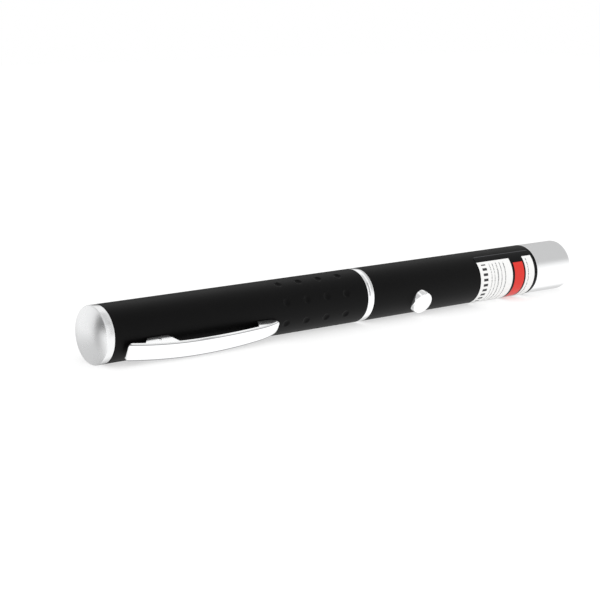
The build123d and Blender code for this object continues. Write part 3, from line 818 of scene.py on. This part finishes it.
# %% Button
button_top = radius + 1.4
button_crown = 0.35
flange_out = 3.9
flange_high = 4.77
flange_low = 4.32
recess_out = 2.1
recess_top = 5.21
button_head = 3.1
button_rim = button_top - button_crown
button_edge = 0.28
crown_steps = 16
button_steps = 128
button = turned(
    arc_points(button_top, button_rim, button_head, crown_steps)
    + [
        (radius, button_out),
        (flange_high, button_out),
        (flange_high, flange_out),
        (flange_low, flange_out),
        (flange_low, recess_out),
        (recess_top, recess_out),
        (recess_top, 0),
    ],
    steps=button_steps,
    closed=False,
    rounds=[(button_rim, button_head, button_edge)],
)
rise_up = Matrix((outward, pen, outward.cross(pen))).transposed().to_4x4()
set_on(Matrix.Translation(pen * button_station) @ rise_up, button)
finished("silver_button", button, "button", bright_chrome, ["button_cap"])

# %% [markdown]
# ### Pocket clip
#
# The clip is stamped from spring steel sheet, arched along its length, drawn in towards its tip
# and plated. Its side walls come down as ears at the pivot and as a small boat at the tip. A strip
# of planes with a thickness modifier would leave out the walls, so it is made as the press makes
# it: a block with the clip's outline and arch is eased along its rim, and then hollowed and
# trimmed from below by Booleans, which leave the visible face untouched.

# %% The clip's arch and outline
clip_rear = tube_rear + 2.8
clip_long = 45.0
clip_wide = 4.8
clip_tip_wide = 3.8
sheet = 0.5
rim_round = 0.24
rear_corner = 1.1
tip_corner = 1.9
crown_at = 19.7
crown_rise = 3.6
rear_rise = 1.3
shoulder_at = 38.2
shoulder_rise = 2.45
tip_rise = 0.55
foot_gap = 0.05
first_score, last_score, score_step = 0.4, 0.2, 0.75
rear_bend = (crown_at**2 + (crown_rise - rear_rise) ** 2) / (2 * (crown_rise - rear_rise))
run = shoulder_at - crown_at
front_bend = (run**2 + (crown_rise - shoulder_rise) ** 2) / (2 * (crown_rise - shoulder_rise))
tip_run = clip_long - shoulder_at
tip_drop = shoulder_rise - tip_rise
lean = (run / front_bend, sqrt(1 - (run / front_bend) ** 2))
tip_bend = (tip_run**2 + tip_drop**2) / (2 * (tip_drop * lean[1] - tip_run * lean[0]))
tip_middle = (shoulder_at - tip_bend * lean[0], shoulder_rise - tip_bend * lean[1])
draw_in = (clip_wide - clip_tip_wide) / 2
draw_bend = ((clip_long - crown_at) ** 2 + draw_in**2) / (2 * draw_in)


def arch(reach):
    """How far the clip's outer face stands above the barrel, a reach from its rear end."""
    if reach < crown_at:
        return crown_rise - rear_bend + sqrt(rear_bend**2 - (crown_at - reach) ** 2)
    if reach < shoulder_at:
        return crown_rise - front_bend + sqrt(front_bend**2 - (reach - crown_at) ** 2)
    return tip_middle[1] + sqrt(tip_bend**2 - (reach - tip_middle[0]) ** 2)


def lining(reach, step=0.01):
    """The clip's inner face, one sheet under the outer one."""
    slope = (arch(reach + step) - arch(reach - step)) / (2 * step)
    return arch(reach) - sheet * hypot(1, slope)


def narrowing(reach):
    """How much each side has drawn in towards the tip."""
    past = max(0.0, reach - crown_at)
    return draw_bend - sqrt(draw_bend**2 - past**2)


def scored(work, direction, start, end, step):
    """Divides a flat sheet across a direction at a regular step, so that it can be bent."""
    place = start
    while place < end:
        bmesh.ops.bisect_plane(
            work, geom=everything(work), plane_co=direction * place, plane_no=direction
        )
        place += step


def raised(work, faces):
    """Extrudes faces in place and returns the points of the new side."""
    made = bmesh.ops.extrude_face_region(work, geom=faces)
    return [item for item in made["geom"] if isinstance(item, bmesh.types.BMVert)]


def clip_block(inset, bottom, top):
    """A block with the clip's outline, from a bottom up to a top that follows its arch."""
    work = bmesh.new()
    half = clip_wide / 2 - inset
    low, high = inset, clip_long - inset
    outline = [(low, -half), (high, -half), (high, half), (low, half)]
    corners = [work.verts.new((reach, side, bottom)) for reach, side in outline]
    work.faces.new(corners)
    for pair, corner in (([corners[0], corners[3]], rear_corner), (corners[1:3], tip_corner)):
        rounded(work, pair, corner - inset, segments=10, affect="VERTICES")
    scored_from, scored_to = rear_corner + first_score, clip_long - tip_corner - last_score
    scored(work, pen, scored_from, scored_to, score_step)
    above = set(raised(work, work.faces[:]))
    for point in work.verts:
        reach, side = point.co.x, point.co.y
        point.co.y -= (1 if side > 0 else -1) * narrowing(reach) * abs(side) / half
        if point in above:
            point.co.z = top(reach)
    bmesh.ops.recalc_face_normals(work, faces=work.faces)
    return work


print("arch at crown and tip", round(arch(crown_at), 3), round(arch(clip_long), 3))

# %% [markdown]
# A thin dark line follows the outline just inside the clip's rounded edge. It is painted: a
# darker, rougher band in the finish stands in for the black barrel that the rounded edge reflects.
# It could be a second material on the edge's faces, but then its width would depend on how the
# mesh is divided. Here the finish works out how far a point lies inside the outline.

# %% Clip finish
clip_chrome = Finish("clip chrome", plating, 0.09, 1.0)
along, side, height = clip_chrome.parts()
clip_across = pen.cross(outward)
past_crown = (along - clip_rear - crown_at).most(0)
half_width = clip_wide / 2 - past_crown * past_crown * (1 / (2 * draw_bend))
off_line = side * clip_across.y + height * clip_across.z
inside = half_width - off_line.through("ABSOLUTE")
# Painted reflection: a dark band just inside the rounded edge, for the black barrel that the edge
# reflects.
painted_dark_line = inside.rises(0.08, 0.18) * inside.falls(0.34, 0.48) * 0.85
painted_line_grey = (0.2, 0.2, 0.205)
clip_chrome.set("Base Color", clip_chrome.mix(painted_dark_line, plating, painted_line_grey))
clip_chrome.set("Roughness", 0.07 + clip_chrome.grain(6.0, 4.0) * 0.06 + painted_dark_line * 0.2)
clip_chrome.bump(clip_chrome.grain(0.25, 2.0), 0.0015, 0.3)
print(clip_chrome.material.name)

# %% Clip
ear_from, ear_to, ear_slope, ear_lean = 5.6, 11.3, 1.7, 1.4
pad_from, pad_to, pad_slope, pad_lean = 37.9, 41.9, 1.4, 0.9
pin_reach, pin_rise, pin_hole, pin_out = 8.4, 1.1, 0.53, 0.522
pin_steps = 48
pin_edge = 0.03
pin_inset = 0.01
cutter_half = 4
cutter_step = 0.5
deep = -1
side_tilt_most, face_tilt_least, above_foot = 0.2, 0.5, 0.2


def slab(outline):
    """A cutter wider than the clip, with an outline of (reach, rise) points."""
    work = bmesh.new()
    points = [work.verts.new((reach, -cutter_half, rise)) for reach, rise in outline]
    moved = raised(work, [work.faces.new(points)])
    bmesh.ops.translate(work, vec=(0, 2 * cutter_half, 0), verts=moved)
    bmesh.ops.recalc_face_normals(work, faces=work.faces)
    return work


def trim_under(corner_points, low, high):
    """A cutter under the lining between two reaches, closed below by its corner points."""
    count = max(2, round((high - low) / cutter_step))
    curve = [low + (high - low) * step / count for step in range(count + 1)]
    return slab([(reach, lining(reach)) for reach in curve] + corner_points)


def laid_across(work):
    """Lays a post across the clip, where its pin goes."""
    quarter = Matrix.Rotation(pi / 2, 3, "X")
    bmesh.ops.rotate(work, cent=(0, 0, 0), matrix=quarter, verts=work.verts)
    bmesh.ops.translate(work, vec=(pin_reach, 0, pin_rise), verts=work.verts)
    return work


def upper_rim(edge):
    """Whether an edge joins the outer face to a side, well above the clip's foot."""
    if len(edge.link_faces) != 2:
        return False
    side_tilt, face_tilt = sorted(abs(face.normal.z) for face in edge.link_faces)
    foot_room = min(end.co.z - foot_gap for end in edge.verts)
    return side_tilt < side_tilt_most and face_tilt > face_tilt_least and foot_room > above_foot


clip = clip_block(0, foot_gap, arch)
rim = [edge for edge in clip.edges if upper_rim(edge)]
rounded(clip, rim, rim_round, segments=5, clamp=True)
rear_end = [(ear_from, foot_gap), (ear_from, deep), (deep, deep), (deep, lining(0) - 0.1)]
rear_trim = trim_under(rear_end, 0.0, ear_from - ear_lean)
gap_end = [(pad_from, foot_gap), (pad_from, deep), (ear_to, deep), (ear_to, foot_gap)]
middle_trim = trim_under(gap_end, ear_to + ear_slope, pad_from - pad_lean)
boat_end = clip_long - 1.0
past_tip = clip_long + 1
front_trim = slab(
    [
        (pad_to, deep),
        (pad_to, foot_gap),
        (pad_to + pad_slope, (foot_gap + tip_rise) / 2),
        (boat_end, lining(boat_end)),
        (clip_long, foot_gap),
        (past_tip, foot_gap),
        (past_tip, deep),
    ]
)
hollow = clip_block(sheet, deep, lining)
pin_cutter = laid_across(post(pin_hole, -clip_wide, clip_wide, pin_steps))
clip = cut_away(clip, hollow, rear_trim, middle_trim, front_trim, pin_cutter)
set_on(stood(clip_rear, radius), clip)
clip_piece = finished(
    "sprung_clip", clip, "clip", clip_chrome.material, ["pocket_clip"], crease=30
)
low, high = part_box("pocket_clip")
print("clip in CAD", [round(value / mm, 2) for value in (*low, *high)])
corners_here = [list(clip_piece.bound_box[place]) for place in (0, 6)]
print("clip here", [round(value / mm, 2) for corner in corners_here for value in corner])

# %% [markdown]
# The clip rocks on a pin that is riveted over at both ends. Its ends are hardly more than eased,
# so it is the same post that cut the hole, a little thinner, with its two rims rounded. An outline
# on the lathe would do as well, but it would have to be laid across afterwards too.

# %% Clip pin
pin_half = (clip_wide - pin_inset) / 2
pin = post(pin_out, -pin_half, pin_half, pin_steps)
pin_ends = [
    edge for edge in pin.edges if abs(edge.verts[0].co.z - edge.verts[1].co.z) < same_place
]
rounded(pin, pin_ends, pin_edge, segments=2)
set_on(stood(clip_rear, radius), laid_across(pin))
finished("riveted_pin", pin, "rear_barrel", bright_chrome, ["clip_pin"])

# %% [markdown]
# ### Label film
#
# The film is a flat sheet with rounded corners before it goes on, so it starts here as a flat face
# with its corners eased. It is divided across, bent round the barrel and given its thickness
# outwards. A patch cut from a spun tube would have the same shape but square corners.

# %% Label film on the barrel
label_above = 86
label_below = 51
label_corner = 0.8
film_thick = 0.08
glue = 0.004
first_fold, fold_step = 0.2, 0.25
sweep_top = -radians(label_above) * radius
sweep_low = radians(label_below) * radius
flat = [(label_rear, sweep_top), (label_front, sweep_top)]
flat += [(label_front, sweep_low), (label_rear, sweep_low)]
wrap = bmesh.new()
flat_points = [wrap.verts.new((along, arc, 0)) for along, arc in flat]
wrap.faces.new(flat_points)
rounded(wrap, flat_points, label_corner, segments=8, affect="VERTICES")
scored(wrap, Vector((0, 1, 0)), sweep_top + first_fold, sweep_low, fold_step)
top_points = set(raised(wrap, wrap.faces[:]))
for point in wrap.verts:
    turn_here = outward_turn + point.co.y / radius
    out = radius + (film_thick if point in top_points else glue)
    point.co = (point.co.x, out * cos(turn_here), out * sin(turn_here))
bmesh.ops.recalc_face_normals(wrap, faces=wrap.faces)
finished("printed_label", wrap, "front", label, ["label_film"])

# %% [markdown]
# ### Pieces kept from the CAD model
#
# What is inside the pen, and the bracket under the clip, keep their CAD solids. Each gets the
# finish of its own material. The mesh of a CAD node is never touched.

# %% Finishes for the solids that stay
kept = {
    "clip_bracket": spring_steel,
    "clip_spring": spring_steel,
    "battery_spring": spring_steel,
    "lens_spring": spring_steel,
    "switch_cover": spring_steel,
    "rear_cell": cell_steel,
    "front_cell": cell_steel,
    "rear_cell_sleeve": cell_sleeve,
    "front_cell_sleeve": cell_sleeve,
    "switch_housing": black_plastic,
    "switch_plunger": black_plastic,
    "driver_chip": black_plastic,
    "resistors": black_plastic,
    "contact_holder": insulator,
    "battery_contact": gold_plate,
    "laser_diode": gold_plate,
    "diode_leads": gold_plate,
    "driver_board": board_green,
    "trimmer": trimmer_blue,
    "capacitor": ceramic,
    "laser_housing": brass,
    "lens_holder": brass,
    "collimating_lens": lens_glass,
}
for name, material in kept.items():
    node = nodes[name]
    node.data.materials.clear()
    node.data.materials.append(material)
print("kept", len(kept), "of", len(nodes))

# %% [markdown]
# ## Table, light and camera
#
# The pen lies on a white table in a bright white room, as in a catalogue picture. Black and chrome
# need something to reflect, so soft grey panels stand round the pen where a studio would hang
# them. One greys the top of the nose, one draws the dark band on the cap, and others shape the
# metal seen from the front or from behind. The room is the world shader, in which each panel is a
# range of directions: only reflections see the panels, and a viewer sees plain white. A
# photographed studio could light the pen too, but panels made of sums can be moved one at a time.
# Large soft lamps lift the table without showing in the chrome. The camera has the place, the turn
# and the lens that fit the pen's outline in the photograph.


# %% Table
table_half = 1.6
table_mesh = bmesh.new()
bmesh.ops.create_grid(table_mesh, x_segments=1, y_segments=1, size=table_half)
bmesh.ops.translate(table_mesh, vec=(0, 0, cad_box[0][2]), verts=table_mesh.verts)
table = placed("table", mesh_of("table", table_mesh))
table_finish = Finish("white table", (0.45, 0.45, 0.45), 0.7, Specular_IOR_Level=0.0)
table_finish.shader.inputs["Emission Color"].default_value = (1, 1, 1, 1)
table_finish.shader.inputs["Emission Strength"].default_value = 0.6
table.data.materials.append(table_finish.material)
table.visible_glossy = False

# %% Camera
camera_data = bpy.data.cameras.new("camera")
camera_data.lens = 95.0217
camera_data.sensor_width = 36.0
camera_data.clip_start = 0.01
camera = placed("camera", camera_data)
view_from = Vector((-347.880, -303.879, 74.646)) * mm
view_ahead = Vector((0.62784217, 0.75634547, -0.18372735)).normalized()
view_up = Vector((0.11734939, 0.14136782, 0.98297724)).normalized()
view_side = view_ahead.cross(view_up).normalized()
camera_turn = Matrix((view_side, view_side.cross(view_ahead), -view_ahead)).transposed().to_4x4()
camera.matrix_world = Matrix.Translation(view_from) @ camera_turn
bpy.context.scene.camera = camera
bpy.context.scene.view_settings.view_transform = "Standard"


# %% Room
class Room(Finish):
    """The world's nodes, with the same way of adding them."""

    def __init__(self):
        world = bpy.data.worlds.new("white room")
        bpy.context.scene.world = world
        world.use_nodes = True
        self.tree = world.node_tree
        self.shader = self.tree.nodes["Background"]


room = Room()
split = room.add("SeparateXYZ", {}, {0: room.add("TexCoord", out="Generated")}).socket.node
along, away, upwards = [Reading(room, socket) for socket in split.outputs]
downwards = -upwards
bearing = away.through("ARCTAN2", along) * (180 / pi)
far_side = away.rises(-0.1, 0.25)
low = downwards.rises(-0.1, 0.1)
behind = along.falls(-0.4, -0.15)
open_levels = []


def panel(grey, *sides):
    """A grey panel: how much it takes from a reflection, and where each of its sides lies."""
    cover = sides[0]
    for side in sides[1:]:
        cover = cover * side
    open_levels.append(1 - cover * grey)


# Above the nose, then above the cap and the clip
nose_top = upwards.rises(0.03, 0.42).most(far_side * upwards.rises(-0.35, -0.1))
panel(0.43, along.rises(0.668, 0.708), along.falls(0.78, 0.86), nose_top)
overhead = upwards.rises(0.5, 0.64)
panel(0.35, along.falls(0.6, 0.64), away.falls(0.05, 0.2), along.over(0), overhead)
# Under the nose
panel(0.32, away.rises(0.05, 0.4), downwards.rises(0.1, 0.35), along.falls(0.78, 0.86))
# Low behind the pen, for the ring and the button's wall
horizon = [upwards.falls(0.28, 0.5), upwards.rises(-0.1, 0.05)]
panel(0.85, away.rises(0.3, 0.6), *horizon, along.rises(0.2, 0.4), along.falls(0.715, 0.73))
# The dark band across the cap, and a light shade beside it
side_end = bearing.rises(153, 160) * upwards.falls(-0.1, 0.08)
band_ends = [bearing.rises(141, 151), 1 - side_end, bearing.falls(172, 178)]
panel(0.95, *band_ends, upwards.rises(-0.56, -0.06), upwards.falls(0.24, 0.4))
panel(0.2, bearing.falls(72, 96), bearing.rises(55, 70))
# A narrow one for the edge of the clip
clip_sides = [along.rises(0.55, 0.57), along.falls(0.6, 0.62), away.falls(-0.45, -0.3)]
panel(0.9, *clip_sides, upwards.rises(-0.1, 0.08), upwards.falls(0.6, 0.75))
# Above and below what faces forwards, then two for the nose's front face
panel(0.42, behind, upwards.rises(0.3, 0.6))
panel(0.3, behind, downwards.rises(0.5, 0.75))
face_side = away.rises(0.55, 0.7)
panel(0.3, along.rises(0.35, 0.5), along.falls(0.66, 0.72), face_side, downwards.rises(0.08, 0.25))
panel(0.8, along.rises(0.2, 0.35), along.falls(0.55, 0.65), face_side, downwards.rises(0.25, 0.38))

mirror_level = 1.06 + (1 - far_side) * low * 0.12 + bearing.rises(150, 160) * low * 0.15
for open_level in open_levels:
    mirror_level = mirror_level * open_level
rays = room.add("LightPath").socket.node.outputs
mirrored = Reading(room, rays["Is Glossy Ray"])
seen = Reading(room, rays["Is Camera Ray"]).most(Reading(room, rays["Is Transmission Ray"]))
plain_level = 0.95
level = mirrored * mirror_level + (1 - mirrored) * plain_level
level = level.most(seen)
tone = room.add("CombineColor", {}, {0: level, 1: level, 2: level})
room.set("Color", tone)
room.shader.inputs["Strength"].default_value = 1.0


# %% Lamps
pen_middle = Vector((-0.08, 0, 0))


def soft_lamp(name, place, size, power):
    """A large square lamp that shines at the pen and doesn't show in the chrome."""
    data = bpy.data.lights.new(name, "AREA")
    data.shape = "SQUARE"
    data.size = size
    data.energy = power
    lamp = placed(name, data)
    lamp.location = place
    lamp.rotation_euler = (pen_middle - Vector(place)).to_track_quat("-Z", "Y").to_euler()
    lamp.visible_glossy = False
    lamp.visible_camera = False


soft_lamp("overhead lamp", (-0.1, 0.05, 0.7), 0.7, 0.5)
soft_lamp("left lamp", (-0.7, -0.5, 0.5), 0.5, 0.5)
soft_lamp("right lamp", (0.5, -0.5, 0.45), 0.5, 0.4)
print("table, camera, room and lamps are set")
